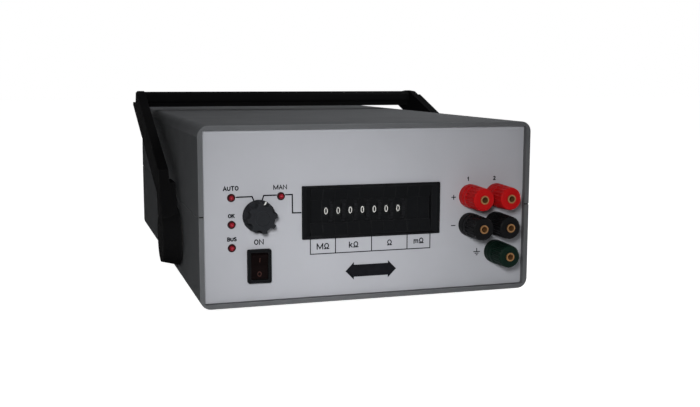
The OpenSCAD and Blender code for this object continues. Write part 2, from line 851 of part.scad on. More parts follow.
module hi_cap_a() {
    post_cap(0, [0.6, 0.04, 0.05]);
}

module hi_cap_b() {
    post_cap(1, [0.6, 0.04, 0.05]);
}

module lo_cap_a() {
    post_cap(2, [0.04, 0.04, 0.045]);
}

module lo_cap_b() {
    post_cap(3, [0.04, 0.04, 0.045]);
}

module ground_cap() {
    post_cap(4, [0.02, 0.12, 0.06]);
}

module clamp_ring(i) {
    color([0.75, 0.6, 0.25]) post_place(i)
        tube(ring_r, stud_r + run_c, base_l + move_c, base_l + move_c + ring_t);
}

module hi_ring_a() {
    clamp_ring(0);
}

module hi_ring_b() {
    clamp_ring(1);
}

module lo_ring_a() {
    clamp_ring(2);
}

module lo_ring_b() {
    clamp_ring(3);
}

module ground_ring() {
    clamp_ring(4);
}

module post_studs() {
    color([0.75, 0.6, 0.25]) for (i = [0:len(posts) - 1]) post_place(i) difference() {
        translate([0, 0, -panel_t - stud_tail]) cylinder(r = stud_r, h = panel_t + stud_tail + post_len);
        translate([0, 0, post_len - socket_l]) cylinder(r = socket_r, h = socket_l + 1);
        translate([0, stud_r + 1, cross_u]) rotate([90, 0, 0]) cylinder(r = cross_r, h = 2 * stud_r + 2);
    }
}

module post_bushes() {
    color([0.85, 0.83, 0.75]) for (i = [0:len(posts) - 1]) post_place(i)
        tube(rear_bush_r, stud_r, -panel_t - rear_bush_l, -panel_t);
}

module post_nuts() {
    top = -panel_t - rear_bush_l;
    color([0.75, 0.6, 0.25]) for (i = [0:len(posts) - 1]) post_place(i) difference() {
        translate([0, 0, top - post_nut_h]) cylinder(r = post_nut_r, h = post_nut_h, $fn = 6);
        translate([0, 0, top - post_nut_h - 1]) cylinder(r = stud_r, h = post_nut_h + 2);
    }
}

module relay_board() {
    color([0.1, 0.32, 0.16]) difference() {
        translate([board_x - board_w / 2, board_y, board_z]) cube([board_w, board_l, board_t]);
        for (p = board_holes) translate([p[0], p[1], board_z - 1]) cylinder(r = screw_r, h = board_t + 2);
    }
}

// a place in the grid of the relay board, on its upper face
module on_board(col, row) {
    x = board_x - board_w / 2 + col * board_w / board_cols;
    y = board_y + row * board_l / (board_rows + 1);
    translate([x, y, board_z + board_t]) children();
}

module standing(size) {
    translate([-size[0] / 2, -size[1] / 2, 0]) cube(size);
}

module relays() {
    color([0.12, 0.12, 0.13]) for (row = [1:board_rows]) for (col = [1:relay_cols]) on_board(col, row) standing(relay);
}

module range_resistors() {
    color([0.45, 0.3, 0.16]) for (row = [1:board_rows]) for (col = [relay_cols + 2:board_cols - 1])
        on_board(col, row) standing(resistor);
}

module logic_board() {
    back = rear_face - plug_body[2];
    color([0.1, 0.32, 0.16]) translate([plug_x, back - board_t, plug_z - logic_drop]) {
        translate([-logic[0] / 2, 0, 0]) cube(logic);
        for (k = [0:chips - 1]) translate([(k - (chips - 1) / 2) * chip_pitch, -chip[1] / 2 + eps, logic[2] / 4])
            cube(chip, center = true);
    }
}

module transformer_bosses() {
    for (x = [-1, 1]) translate([transformer_at[0] + x * transformer_hole_x, transformer_at[1], wall / 2])
        cylinder(r = boss_r, h = transformer_z - wall / 2);
}

module transformer() {
    color([0.35, 0.35, 0.37]) translate([transformer_at[0], transformer_at[1], transformer_z]) {
        standing(transformer_core);
        translate([0, 0, (transformer_core[2] - transformer_coil[2]) / 2]) standing(transformer_coil);
    }
}

module mains_inlet() {
    color([0.04, 0.04, 0.045]) on_rear(inlet_x, inlet_z) difference() {
        union() {
            linear_extrude(inlet_flange[2]) translate([0, -inlet_flange[1] / 2]) slab(inlet_flange[0], inlet_flange[1], 5);
            translate([0, 0, -inlet_body[2] / 2 + eps]) cube(inlet_body, center = true);
        }
        translate([0, 0, inlet_flange[2] - inlet_cavity[2] / 2 + 0.5])
            cube([inlet_cavity[0], inlet_cavity[1], inlet_cavity[2] + 1], center = true);
        for (p = inlet_pins_xy) translate([p[0], p[1], -inlet_body[2]]) cube([2, 4, inlet_body[2]], center = true);
        for (x = [-1, 1]) translate([x * inlet_hole_x, 0, -1]) cylinder(r = screw_r, h = inlet_flange[2] + 2);
    }
}

module inlet_pins() {
    color([0.75, 0.75, 0.77]) on_rear(inlet_x, inlet_z)
        for (p = inlet_pins_xy) translate([p[0], p[1], -inlet_body[2] / 2 - 4]) cube([2, 4, inlet_body[2] + 6], center = true);
}

module interface_connector() {
    color([0.68, 0.68, 0.7]) on_rear(plug_x, plug_z) {
        translate([0, 0, plug_flange[2] / 2]) cube(plug_flange, center = true);
        translate([0, 0, -plug_body[2] / 2 + eps]) cube(plug_body, center = true);
        difference() {
            linear_extrude(connector_out) translate([0, -plug_shell[1] / 2]) slab(plug_shell[0], plug_shell[1], 3);
            translate([0, 0, plug_flange[2]]) linear_extrude(connector_out)
                translate([0, -plug_shell[1] / 2 + 0.7]) slab(plug_shell[0] - 1.4, plug_shell[1] - 1.4, 2.3);
        }
        translate([0, 0, plug_flange[2] + 2 - eps]) cube([42, 2.6, 4], center = true);
        for (x = [-1, 1]) translate([x * 29.5, 0, plug_flange[2] - eps]) cylinder(r = 3.2, h = 4, $fn = 6);
    }
}

// shifts the case so that the origin is under the middle of the whole object
module placed() {
    translate([0, y_shift, foot_h]) children();
}

placed() upper_shell();
placed() lower_shell();
placed() front_panel();
placed() rear_panel();
placed() rubber_feet();
placed() machine_screws();
placed() handle_arm_left();
placed() handle_arm_right();
placed() handle_grip();
placed() grip_screws();
placed() pivot_studs();
placed() pivot_washers();
placed() pivot_screws();
placed() hub_caps();
placed() thumbwheel_bezel();
placed() wheel_housings();
placed() blank_modules();
placed() digit_wheel_1();
placed() digit_wheel_2();
placed() digit_wheel_3();
placed() digit_wheel_4();
placed() digit_wheel_5();
placed() digit_wheel_6();
placed() digit_wheel_7();
placed() wheel_axle();
placed() tie_rods();
placed() switch_boards();
placed() selector_knob();
placed() knob_cap();
placed() selector_shaft();
placed() selector_switch();
placed() selector_nut();
placed() power_rocker();
placed() power_switch();
placed() lamp_holders();
placed() lamp_lenses();
placed() hi_cap_a();
placed() hi_cap_b();
placed() lo_cap_a();
placed() lo_cap_b();
placed() ground_cap();
placed() hi_ring_a();
placed() hi_ring_b();
placed() lo_ring_a();
placed() lo_ring_b();
placed() ground_ring();
placed() post_studs();
placed() red_post_bases();
placed() black_post_bases();
placed() green_post_base();
placed() post_bushes();
placed() post_nuts();
placed() relay_board();
placed() relays();
placed() range_resistors();
placed() logic_board();
placed() transformer();
placed() mains_inlet();
placed() inlet_pins();
placed() interface_connector();
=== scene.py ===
import json
import math
import bpy
import bmesh
from mathutils import Matrix, Vector


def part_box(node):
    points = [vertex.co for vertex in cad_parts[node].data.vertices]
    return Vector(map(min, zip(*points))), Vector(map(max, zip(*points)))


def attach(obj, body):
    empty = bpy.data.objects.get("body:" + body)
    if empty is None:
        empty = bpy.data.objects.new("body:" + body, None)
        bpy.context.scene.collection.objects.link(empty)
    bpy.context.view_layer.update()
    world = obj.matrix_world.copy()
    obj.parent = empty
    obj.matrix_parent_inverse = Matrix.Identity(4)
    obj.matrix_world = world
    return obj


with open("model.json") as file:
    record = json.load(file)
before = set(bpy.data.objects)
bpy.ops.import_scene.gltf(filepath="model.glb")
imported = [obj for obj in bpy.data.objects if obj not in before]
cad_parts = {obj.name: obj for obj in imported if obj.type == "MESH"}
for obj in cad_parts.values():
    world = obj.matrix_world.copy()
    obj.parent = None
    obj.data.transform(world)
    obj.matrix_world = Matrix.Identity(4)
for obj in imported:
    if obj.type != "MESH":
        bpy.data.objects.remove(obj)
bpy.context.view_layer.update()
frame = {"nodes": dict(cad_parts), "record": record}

scene = bpy.context.scene
nodes = frame["nodes"]
MM = 0.001
PANEL_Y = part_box("front_panel")[0][1]
FLOOR_Z = 4.0


def spot(x, z, out=0.0):
    """A place on the front panel: mm from its middle, from the case bottom and out of its face."""
    return Vector((x * MM, PANEL_Y - out * MM, (z + FLOOR_Z) * MM))


# camera
yaw, pitch, roll = math.radians(17.60), math.radians(7.70), math.radians(0.15)
ahead = Vector((math.sin(yaw) * math.cos(pitch), math.cos(yaw) * math.cos(pitch), -math.sin(pitch)))
side = Vector((math.cos(yaw), -math.sin(yaw), 0))
upward = side.cross(ahead)
cam_x = side * math.cos(roll) + upward * math.sin(roll)
cam_y = upward * math.cos(roll) - side * math.sin(roll)
cam = bpy.data.cameras.new("camera")
cam.lens = 49.03
cam.sensor_width = 36
cam_obj = bpy.data.objects.new("camera", cam)
scene.collection.objects.link(cam_obj)
turn = Matrix((cam_x, cam_y, -ahead)).transposed().to_4x4()
CAMERA_AT = (-0.196, PANEL_Y - 0.5739, 0.1473)
cam_obj.matrix_world = Matrix.Translation(CAMERA_AT) @ turn
scene.camera = cam_obj
scene.view_settings.view_transform = "Standard"


# materials
def tree(name):
    m = bpy.data.materials.new(name)
    m.use_nodes = True
    t = m.node_tree
    return m, t, t.nodes["Principled BSDF"]


def add(t, kind, **values):
    n = t.nodes.new(kind)
    for key, value in values.items():
        if hasattr(n, key):
            setattr(n, key, value)
        else:
            n.inputs[key.replace("_", " ")].default_value = value
    return n


def grain(t, coords, scale, detail=2.0, kind="noise"):
    if kind == "noise":
        n = add(t, "ShaderNodeTexNoise", Scale=scale, Detail=detail)
        out = n.outputs["Fac"]
    else:
        n = add(t, "ShaderNodeTexVoronoi", Scale=scale)
        out = n.outputs["Distance"]
    t.links.new(coords, n.inputs["Vector"])
    return out


def remap(t, value, low, high):
    n = add(t, "ShaderNodeMapRange")
    n.inputs["From Min"].default_value = 0.3
    n.inputs["From Max"].default_value = 0.7
    n.inputs["To Min"].default_value = low
    n.inputs["To Max"].default_value = high
    t.links.new(value, n.inputs["Value"])
    return n.outputs["Result"]


def finish(name, color, rough, spread=0.06, tone=0.08, bump=0.2, bump_scale=1500.0, bump_kind="noise",
           tone_scale=35.0, edge_wear_and_sheen=0.0, metal=0.0, spec=0.5, stretch=None, depth=0.00005):
    """A moulded, painted or metal surface: tone drift, uneven gloss, fine grain and paler edges, partly
    rubbed wear and partly a painted edge highlight.
    """
    m, t, p = tree(name)
    p.inputs["Metallic"].default_value = metal
    p.inputs["Specular IOR Level"].default_value = spec
    coords = add(t, "ShaderNodeTexCoord").outputs["Object"]
    if stretch:
        n = add(t, "ShaderNodeMapping")
        n.inputs["Scale"].default_value = stretch
        t.links.new(coords, n.inputs["Vector"])
        coords = n.outputs["Vector"]
    drift = grain(t, coords, tone_scale, 4.0)
    mix = add(t, "ShaderNodeMix", data_type="RGBA")
    mix.inputs[6].default_value = (*[c * (1 - tone) for c in color], 1)
    mix.inputs[7].default_value = (*[min(1, c * (1 + tone)) for c in color], 1)
    t.links.new(remap(t, drift, 0, 1), mix.inputs[0])
    shade = mix.outputs[2]
    # paler edges: partly rubbed wear, partly a painted highlight along every edge standing in for sheen
    if edge_wear_and_sheen:
        edge = add(t, "ShaderNodeBevel", samples=4)
        edge.inputs["Radius"].default_value = 0.0011
        geo = add(t, "ShaderNodeNewGeometry")
        dot = add(t, "ShaderNodeVectorMath", operation="DOT_PRODUCT")
        t.links.new(edge.outputs["Normal"], dot.inputs[0])
        t.links.new(geo.outputs["True Normal"], dot.inputs[1])
        edge_wear_sheen_ramp = add(t, "ShaderNodeMapRange")
        edge_wear_sheen_ramp.inputs["From Min"].default_value = 0.995
        edge_wear_sheen_ramp.inputs["From Max"].default_value = 0.90
        edge_wear_sheen_ramp.inputs["To Min"].default_value = 0.0
        edge_wear_sheen_ramp.inputs["To Max"].default_value = edge_wear_and_sheen
        t.links.new(dot.outputs["Value"], edge_wear_sheen_ramp.inputs["Value"])
        edge_wear_sheen_mask = add(t, "ShaderNodeMath", operation="MULTIPLY")
        t.links.new(edge_wear_sheen_ramp.outputs["Result"], edge_wear_sheen_mask.inputs[0])
        t.links.new(remap(t, grain(t, coords, 160.0, 3.0), 0.2, 1), edge_wear_sheen_mask.inputs[1])
        # the pale edge colour is partly worn plastic and partly painted highlight
        edge_mix = add(t, "ShaderNodeMix", data_type="RGBA")
        edge_mix.inputs[7].default_value = (*[min(1, c * 1.7 + 0.03) for c in color], 1)
        t.links.new(edge_wear_sheen_mask.outputs["Value"], edge_mix.inputs[0])
        t.links.new(shade, edge_mix.inputs[6])
        shade = edge_mix.outputs[2]
    t.links.new(shade, p.inputs["Base Color"])
    t.links.new(remap(t, grain(t, coords, 140.0, 3.0), rough - spread, rough + spread),
        p.inputs["Roughness"])
    if bump:
        b = add(t, "ShaderNodeBump", Strength=bump, Distance=depth)
        t.links.new(grain(t, coords, bump_scale, 2.0, bump_kind), b.inputs["Height"])
        t.links.new(b.outputs["Normal"], p.inputs["Normal"])
    return m


mats = {
    "case_plastic": finish("case_plastic", (0.122, 0.126, 0.132), 0.62, spec=0.001, bump=0.35,
        bump_scale=1900, edge_wear_and_sheen=0.35, tone=0.05),
    "panel_paint": finish("panel_paint", (0.420, 0.428, 0.460), 0.50, spec=0.10, bump=0.10,
        bump_scale=1400, tone=0.015, spread=0.04),
    "handle_black": finish("handle_black", (0.0080, 0.0080, 0.0084), 0.60, spec=0.0004, bump=0.30,
        bump_scale=1100, bump_kind="voronoi", edge_wear_and_sheen=0.25),
    "black_plastic": finish("black_plastic", (0.0078, 0.0083, 0.0092), 0.48, spec=0.006, bump=0.15,
        bump_scale=1700, edge_wear_and_sheen=0.3),
    "wheel_black": finish("wheel_black", (0.0125, 0.0130, 0.0145), 0.45, spec=0.010, bump=0.08),
    "red_plastic": finish("red_plastic", (0.430, 0.0068, 0.0080), 0.42, spec=0.05, bump=0.06, tone=0.10),
    "post_black": finish("post_black", (0.0055, 0.0056, 0.0062), 0.42, spec=0.04, bump=0.08),
    "green_plastic": finish("green_plastic", (0.0035, 0.0120, 0.0080), 0.42, spec=0.04, bump=0.08,
        tone=0.12),
    "lens_red": finish("lens_red", (0.270, 0.0085, 0.0190), 0.20, spec=0.15, bump=0.0, tone=0.2,
        tone_scale=400),
    "contact_metal": finish("contact_metal", (0.27, 0.135, 0.050), 0.38, metal=0.55, bump=0.12,
        bump_scale=900, tone=0.12, tone_scale=200),
    "steel": finish("steel", (0.40, 0.40, 0.41), 0.38, metal=1.0, bump=0.10, bump_scale=800, tone=0.06,
        stretch=(1, 1, 0.2)),
    "rubber": finish("rubber", (0.010, 0.010, 0.010), 0.85, spec=0.1, bump=0.4, bump_scale=1300,
        tone=0.15),
    "washer_fibre": finish("washer_fibre", (0.05, 0.048, 0.045), 0.75, spec=0.1, bump=0.3, tone=0.2),
    "bush_plastic": finish("bush_plastic", (0.62, 0.58, 0.48), 0.5, spec=0.2, bump=0.1),
    "board": finish("board", (0.020, 0.110, 0.045), 0.35, spec=0.3, bump=0.1, bump_scale=500, tone=0.2,
        tone_scale=120),
    "relay_black": finish("relay_black", (0.02, 0.02, 0.022), 0.45, spec=0.2, bump=0.15),
    "resistor": finish("resistor", (0.17, 0.075, 0.03), 0.5, spec=0.2, bump=0.15, tone=0.15),
    "switch_body": finish("switch_body", (0.10, 0.10, 0.105), 0.5, spec=0.2, bump=0.15),
    "core_steel": finish("core_steel", (0.07, 0.068, 0.065), 0.5, spec=0.3, bump=0.3, bump_scale=700,
        tone=0.2, stretch=(1, 8, 1)),
}
ink = finish("legend_ink", (0.0100, 0.0105, 0.0130), 0.6, spec=0.004, bump=0.1, tone=0.15, tone_scale=300)
white_ink = finish("numeral_white", (0.74, 0.74, 0.71), 0.55, spec=0.2, bump=0.08, tone=0.05,
    tone_scale=300)
lamp_rim = finish("lamp_rim", (0.028, 0.0035, 0.0045), 0.35, spec=0.08, bump=0.05, tone=0.2,
    tone_scale=500)
knob_black = finish("knob_black", (0.0200, 0.0212, 0.0240), 0.50, spec=0.004, bump=0.2, bump_scale=1500,
    edge_wear_and_sheen=0.25)
smoked_red = finish("smoked_red", (0.0062, 0.0040, 0.0040), 0.30, spec=0.003, bump=0.05, tone=0.25,
    tone_scale=90)
dull_ink = finish("rocker_ink", (0.045, 0.020, 0.017), 0.55, spec=0.05, bump=0.08, tone=0.2,
    tone_scale=300)

slots = {s["node"]: s["material_slot"] for s in frame["record"]["subparts"]}
own = {"grip_screws": mats["handle_black"], "lamp_holders": lamp_rim, "power_rocker": smoked_red,
    "selector_knob": knob_black, "knob_cap": knob_black}
for name, obj in nodes.items():
    obj.data.materials.clear()
    obj.data.materials.append(own.get(name) or mats[slots[name]])


def soften(name, width, angle=35, segments=2):
    obj = nodes[name]
    w = obj.modifiers.new("weld", "WELD")
    w.merge_threshold = 1e-6
    b = obj.modifiers.new("edges", "BEVEL")
    b.width = width * MM
    b.segments = segments
    b.limit_method = "ANGLE"
    b.angle_limit = math.radians(angle)
    b.harden_normals = True
    b.use_clamp_overlap = True


for name in ("upper_shell", "lower_shell"):
    soften(name, 0.7, segments=3)
for name in ("handle_arm_left", "handle_arm_right", "handle_grip"):
    soften(name, 0.9)
for name in ("thumbwheel_bezel", "power_switch", "power_rocker"):
    soften(name, 0.5)
for name in ("selector_knob", "mains_inlet"):
    soften(name, 0.35)


# pieces
def place(name, mesh, mat, body):
    obj = bpy.data.objects.new(name, mesh)
    scene.collection.objects.link(obj)
    mesh.materials.clear()
    mesh.materials.append(mat)
    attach(obj, body)
    return obj


def curve(points, closed=False, steps=4):
    """A smooth line through points."""
    n = len(points)
    out = []
    for i in range(n if closed else n - 1):
        ids = [i - 1, i, i + 1, i + 2]
        ids = [k % n if closed else min(max(k, 0), n - 1) for k in ids]
        a, b, c, d = [Vector(points[k]) for k in ids]
        for k in range(steps):
            t = k / steps
            square = 2 * a - 5 * b + 4 * c - d
            cube = 3 * b - a - 3 * c + d
            out.append((2 * b + (c - a) * t + square * t * t + cube * t ** 3) / 2)
    if not closed:
        out.append(Vector(points[-1]))
    return out


def ribbon(bm, points, width, closed=False, thick=0.04, low=0.0):
    """A flat line of even width through points in the XY plane, as a closed solid; millimetres."""
    points = [Vector(p) for p in points]
    n = len(points)
    rows = []
    for i, p in enumerate(points):
        before = (p - points[i - 1]).normalized() if i or closed else None
        after = (points[(i + 1) % n] - p).normalized() if i + 1 < n or closed else None
        a, b = before or after, after or before
        d = (a + b).normalized() if (a + b).length > 1e-6 else a
        across = Vector((-d.y, d.x))
        reach = width / 2 / max(0.5, across.dot(Vector((-a.y, a.x))))
        row = []
        for side_of in (1, -1):
            q = p + across * reach * side_of
            row += [bm.verts.new((q.x * MM, q.y * MM, z * MM)) for z in (low, low + thick)]
        rows.append(row)
    for i in range(n if closed else n - 1):
        a, b = rows[i], rows[(i + 1) % n]
        for j, k in ((0, 1), (1, 3), (3, 2), (2, 0)):
            bm.faces.new((a[j], a[k], b[k], b[j]))
    if not closed:
        for row in (rows[0], rows[-1]):
            bm.faces.new((row[0], row[1], row[3], row[2]))


def solid(bm, name):
    bmesh.ops.recalc_face_normals(bm, faces=bm.faces)
    m = bpy.data.meshes.new(name)
    bm.to_mesh(m)
    bm.free()
    return m


def split(points, longest):
    """The same line with points no further apart than longest."""
    out = [Vector(points[0])]
    for a, b in zip(points, points[1:]):
        a, b = Vector(a), Vector(b)
        n = max(1, math.ceil((b - a).length / longest))
        out += [a.lerp(b, k / n) for k in range(1, n + 1)]
    return out


# plain letters and numbers, one unit tall: straight lines (L), smooth lines (C) and closed smooth lines (R)
GLYPHS = {
    "A": (0.74, [("L", [(0, 0), (0.37, 1), (0.74, 0)]), ("L", [(0.15, 0.32), (0.59, 0.32)])]),
    "B": (0.66, [("L", [(0.36, 1), (0, 1), (0, 0), (0.4, 0)]), ("L", [(0, 0.53), (0.38, 0.53)]),
                 ("C", [(0.34, 1), (0.54, 0.93), (0.6, 0.77), (0.54, 0.6), (0.36, 0.53)]),
                 ("C", [(0.36, 0.53), (0.58, 0.45), (0.66, 0.27), (0.58, 0.08), (0.38, 0)])]),
    "I": (0.0, [("L", [(0, 0), (0, 1)])]),
    "K": (0.66, [("L", [(0, 0), (0, 1)]), ("L", [(0.62, 1), (0, 0.4)]), ("L", [(0.22, 0.6), (0.66, 0)])]),
    "M": (1.1, [("L", [(0, 0), (0, 1)]), ("L", [(0, 1), (0.55, 0.08), (1.1, 1)]), ("L", [(1.1, 1), (1.1,
        0)])]),
    "N": (0.84, [("L", [(0, 0), (0, 1), (0.84, 0), (0.84, 1)])]),
    "O": (0.78, [("R", [(0.39, 1), (0.1, 0.83), (0, 0.5), (0.1, 0.17), (0.39, 0), (0.68, 0.17), (0.78,
        0.5), (0.68, 0.83)])]),
    "S": (0.62, [("C", [(0.59, 0.8), (0.5, 0.95), (0.31, 1), (0.11, 0.94), (0.03, 0.77), (0.12, 0.6),
        (0.32, 0.52),
                        (0.54, 0.42), (0.62, 0.25), (0.53, 0.06), (0.31, 0), (0.09, 0.06), (0, 0.22)])]),
    "T": (0.7, [("L", [(0, 1), (0.7, 1)]), ("L", [(0.35, 1), (0.35, 0)])]),
    "U": (0.68, [("C", [(0, 1), (0, 0.65), (0.01, 0.3), (0.12, 0.07), (0.34, 0), (0.56, 0.07), (0.67,
        0.3), (0.68, 0.65), (0.68, 1)])]),
    "k": (0.54, [("L", [(0, 0), (0, 1)]), ("L", [(0.5, 0.7), (0, 0.26)]), ("L", [(0.18, 0.42), (0.54,
        0)])]),
    "m": (0.84, [("L", [(0, 0), (0, 0.7)]), ("C", [(0, 0.5), (0.12, 0.66), (0.28, 0.69), (0.4, 0.6),
        (0.42, 0.4), (0.42, 0)]),
                 ("C", [(0.42, 0.5), (0.54, 0.66), (0.7, 0.69), (0.82, 0.6), (0.84, 0.4), (0.84, 0)])]),
    "\u03a9": (0.86, [("L", [(0, 0), (0.3, 0), (0.3, 0.16)]), ("L", [(0.56, 0.16), (0.56, 0), (0.86, 0)]),
                     ("C", [(0.3, 0.14), (0.12, 0.32), (0.05, 0.58), (0.15, 0.86), (0.43, 1), (0.71,
                         0.86), (0.81, 0.58),
                            (0.74, 0.32), (0.56, 0.14)])]),
    "0": (0.6, [("R", [(0.3, 1), (0.08, 0.85), (0, 0.5), (0.08, 0.15), (0.3, 0), (0.52, 0.15), (0.6, 0.5),
        (0.52, 0.85)])]),
    "1": (0.3, [("L", [(0, 0.76), (0.28, 1), (0.28, 0)])]),
    "2": (0.6, [("C", [(0.02, 0.74), (0.1, 0.93), (0.3, 1), (0.52, 0.92), (0.58, 0.74), (0.48, 0.52),
        (0.24, 0.27), (0, 0)]),
                ("L", [(0, 0), (0.6, 0)])]),
    "3": (0.6, [("C", [(0.02, 0.84), (0.12, 0.96), (0.3, 1), (0.5, 0.93), (0.56, 0.77), (0.48, 0.6),
        (0.26, 0.54)]),
                ("C", [(0.26, 0.54), (0.5, 0.46), (0.6, 0.27), (0.5, 0.06), (0.28, 0), (0.1, 0.04), (0,
                    0.18)])]),
    "4": (0.62, [("L", [(0.46, 0), (0.46, 1), (0, 0.28), (0.62, 0.28)])]),
    "5": (0.6, [("L", [(0.54, 1), (0.1, 1), (0.05, 0.54)]),
                ("C", [(0.05, 0.54), (0.28, 0.62), (0.5, 0.55), (0.6, 0.32), (0.5, 0.07), (0.28, 0), (0.1,
                    0.04), (0, 0.17)])]),
    "6": (0.6, [("R", [(0.3, 0.6), (0.08, 0.52), (0, 0.3), (0.08, 0.08), (0.3, 0), (0.52, 0.08), (0.6,
        0.3), (0.52, 0.52)]),
                ("C", [(0.01, 0.34), (0.06, 0.68), (0.24, 0.92), (0.46, 1)])]),
    "7": (0.6, [("L", [(0, 1), (0.6, 1), (0.2, 0)])]),
    "8": (0.6, [("R", [(0.3, 1), (0.1, 0.93), (0.04, 0.77), (0.12, 0.61), (0.3, 0.54), (0.48, 0.61),
        (0.56, 0.77), (0.5, 0.93)]),
                ("R", [(0.3, 0.54), (0.08, 0.45), (0, 0.27), (0.09, 0.07), (0.3, 0), (0.51, 0.07), (0.6,
                    0.27), (0.52, 0.45)])]),
    "9": (0.6, [("R", [(0.3, 1), (0.08, 0.92), (0, 0.7), (0.08, 0.48), (0.3, 0.4), (0.52, 0.48), (0.6,
        0.7), (0.52, 0.92)]),
                ("C", [(0.59, 0.66), (0.54, 0.32), (0.36, 0.08), (0.14, 0)])]),
}


def letters(bm, words, height, width, gap=0.26, squeeze=1.0, middle=(0, 0), longest=99.0, thick=0.04):
    """Words in plain strokes, height mm tall over all, their middle at the given place."""
    tall = height - width
    total = (sum(GLYPHS[c][0] for c in words) + gap * (len(words) - 1)) * tall * squeeze
    x = middle[0] - total / 2
    step = 0
    for c in words:
        for kind, pts in GLYPHS[c][1]:
            pts = [(x + px * tall * squeeze, middle[1] + (py - 0.5) * tall) for px, py in pts]
            pts = [Vector(q) for q in pts] if kind == "L" else curve(pts, kind == "R")
            if kind != "R":
                pts = split(pts, longest)
            if kind == "L":
                tail = [(pts[1] - pts[0]).normalized() * width / 2,
                    (pts[-1] - pts[-2]).normalized() * width / 2]
                pts = [pts[0] - tail[0]] + pts[1:-1] + [pts[-1] + tail[1]]
            ribbon(bm, pts, width, kind == "R", thick + 0.002 * step)
            step += 1
        x += (GLYPHS[c][0] + gap) * tall * squeeze


STAND = Matrix(((1, 0, 0), (0, 0, -1), (0, 1, 0))).to_4x4()


def on_panel(mesh, x, z, out=0.0):
    mesh.transform(Matrix.Translation(spot(x, z, out)) @ STAND)
    mesh.update()
    return mesh


labels = [
    ("AUTO", -90.5, 74.1, 3.0), ("MAN", -59.5, 73.9, 3.0), ("OK", -90.4, 57.0, 2.7), ("BUS", -90.2, 42.5,
        2.7),
    ("ON", -73.3, 40.0, 3.5), ("1", 67.9, 75.2, 2.8), ("2", 87.0, 75.2, 2.8),
    ("M\u03a9", -31.9, 35.2, 4.0), ("k\u03a9", -11.4, 35.3, 4.0), ("\u03a9", 13.0, 35.4, 3.9), ("m\u03a9",
        33.3, 35.6, 3.8),
]
STROKE, FINE_STROKE, LETTER_GAP = 0.68, 0.56, 0.34
for i, (words, x, z, h) in enumerate(labels):
    bm = bmesh.new()
    letters(bm, words, h, FINE_STROKE if words == "MAN" else STROKE, LETTER_GAP)
    place("legend_%02d" % (i + 1), on_panel(solid(bm, "legend"), x, z), ink, "case")


def lines(name, runs, width):
    bm = bmesh.new()
    for k, run in enumerate(runs):
        ribbon(bm, run, width, thick=0.04 + 0.002 * k)
    return place(name, on_panel(solid(bm, name), 0, 0), ink, "case")


THIN_LINE, LEADER_LINE = 0.62, 0.85
table_x = [-40.2, -23.6, 0.7, 25.2, 41.3]
TABLE_TOP, TABLE_LOW = 40.1, 30.4
frame_line = [(table_x[0], TABLE_TOP), (table_x[0], TABLE_LOW), (table_x[-1], TABLE_LOW), (table_x[-1],
    TABLE_TOP)]
lines("unit_table", [frame_line] + [[(x, TABLE_TOP), (x, TABLE_LOW)] for x in table_x[1:-1]], THIN_LINE)
lines("leader_lines", [
    [(-87.6, 68.5), (-77.3, 68.6), (-76.2, 66.0)],
    [(-70.9, 66.2), (-70.0, 69.0), (-61.7, 69.0)],
    [(-56.3, 69.0), (-51.8, 69.0), (-51.7, 57.4), (-45.9, 57.3)],
], LEADER_LINE)
ARROW_THICK = 0.05
arrow = [
    (-16.9, 18.0), (-11.2, 23.8), (-11.2, 22.0), (12.0, 22.0), (12.0, 23.8), (17.7, 18.0),
    (12.0, 12.3), (12.0, 14.1), (-11.2, 14.1), (-11.2, 12.3),
]
bm = bmesh.new()
foot = [bm.verts.new((x * MM, z * MM, 0)) for x, z in arrow]
head = [bm.verts.new((x * MM, z * MM, ARROW_THICK * MM)) for x, z in arrow]
bm.faces.new(foot)
bm.faces.new(head)
for i in range(len(arrow)):
    j = (i + 1) % len(arrow)
    bm.faces.new((foot[i], foot[j], head[j], head[i]))
place("double_arrow", on_panel(solid(bm, "double_arrow"), 0, 0), ink, "case")
lines("terminal_marks", [
    [(56.2, 63.3), (59.4, 63.3)], [(57.8, 64.9), (57.8, 61.7)], [(56.2, 44.4), (59.4, 44.4)],
    [(75.2, 28.4), (75.2, 26.0)], [(72.8, 26.0), (77.6, 26.0)], [(73.8, 24.9), (76.6, 24.9)], [(74.6,
        23.8), (75.8, 23.8)],
], THIN_LINE)

# dark strip in the seam where it crosses the rim: painted shade standing in for the shadow in the seam gap
SEAM_SHADE_X, SEAM_SHADE_Z, SEAM_SHADE_OUT = 109.35, 57.4, 3.205
SEAM_SHADE_SIZE = (2.66 * MM, 0.74 * MM, 0.99 * MM, 1)
for name, x in (("seam_cord_left", -SEAM_SHADE_X), ("seam_cord_right", SEAM_SHADE_X)):
    bm = bmesh.new()
    bmesh.ops.create_cube(bm, size=1, matrix=Matrix.Diagonal(SEAM_SHADE_SIZE))
    place(name, on_panel(solid(bm, name), x, SEAM_SHADE_Z, SEAM_SHADE_OUT), mats["rubber"], "case")

# pointer on the knob
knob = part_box("knob_cap")
knob_mid = ((knob[0][0] + knob[1][0]) / 2 / MM, (knob[0][2] + knob[1][2]) / 2 / MM - FLOOR_Z)
lean = math.radians(24)
KNOB_SKIRT, POINTER_FROM, POINTER_TO, POINTER_W = 4.0, 7.6, 10.0, 0.95
bm = bmesh.new()
ribbon(bm, [(math.sin(lean) * r, math.cos(lean) * r) for r in (POINTER_FROM, POINTER_TO)], POINTER_W)
place("knob_pointer", on_panel(solid(bm, "knob_pointer"), *knob_mid, KNOB_SKIRT), white_ink, "selector")

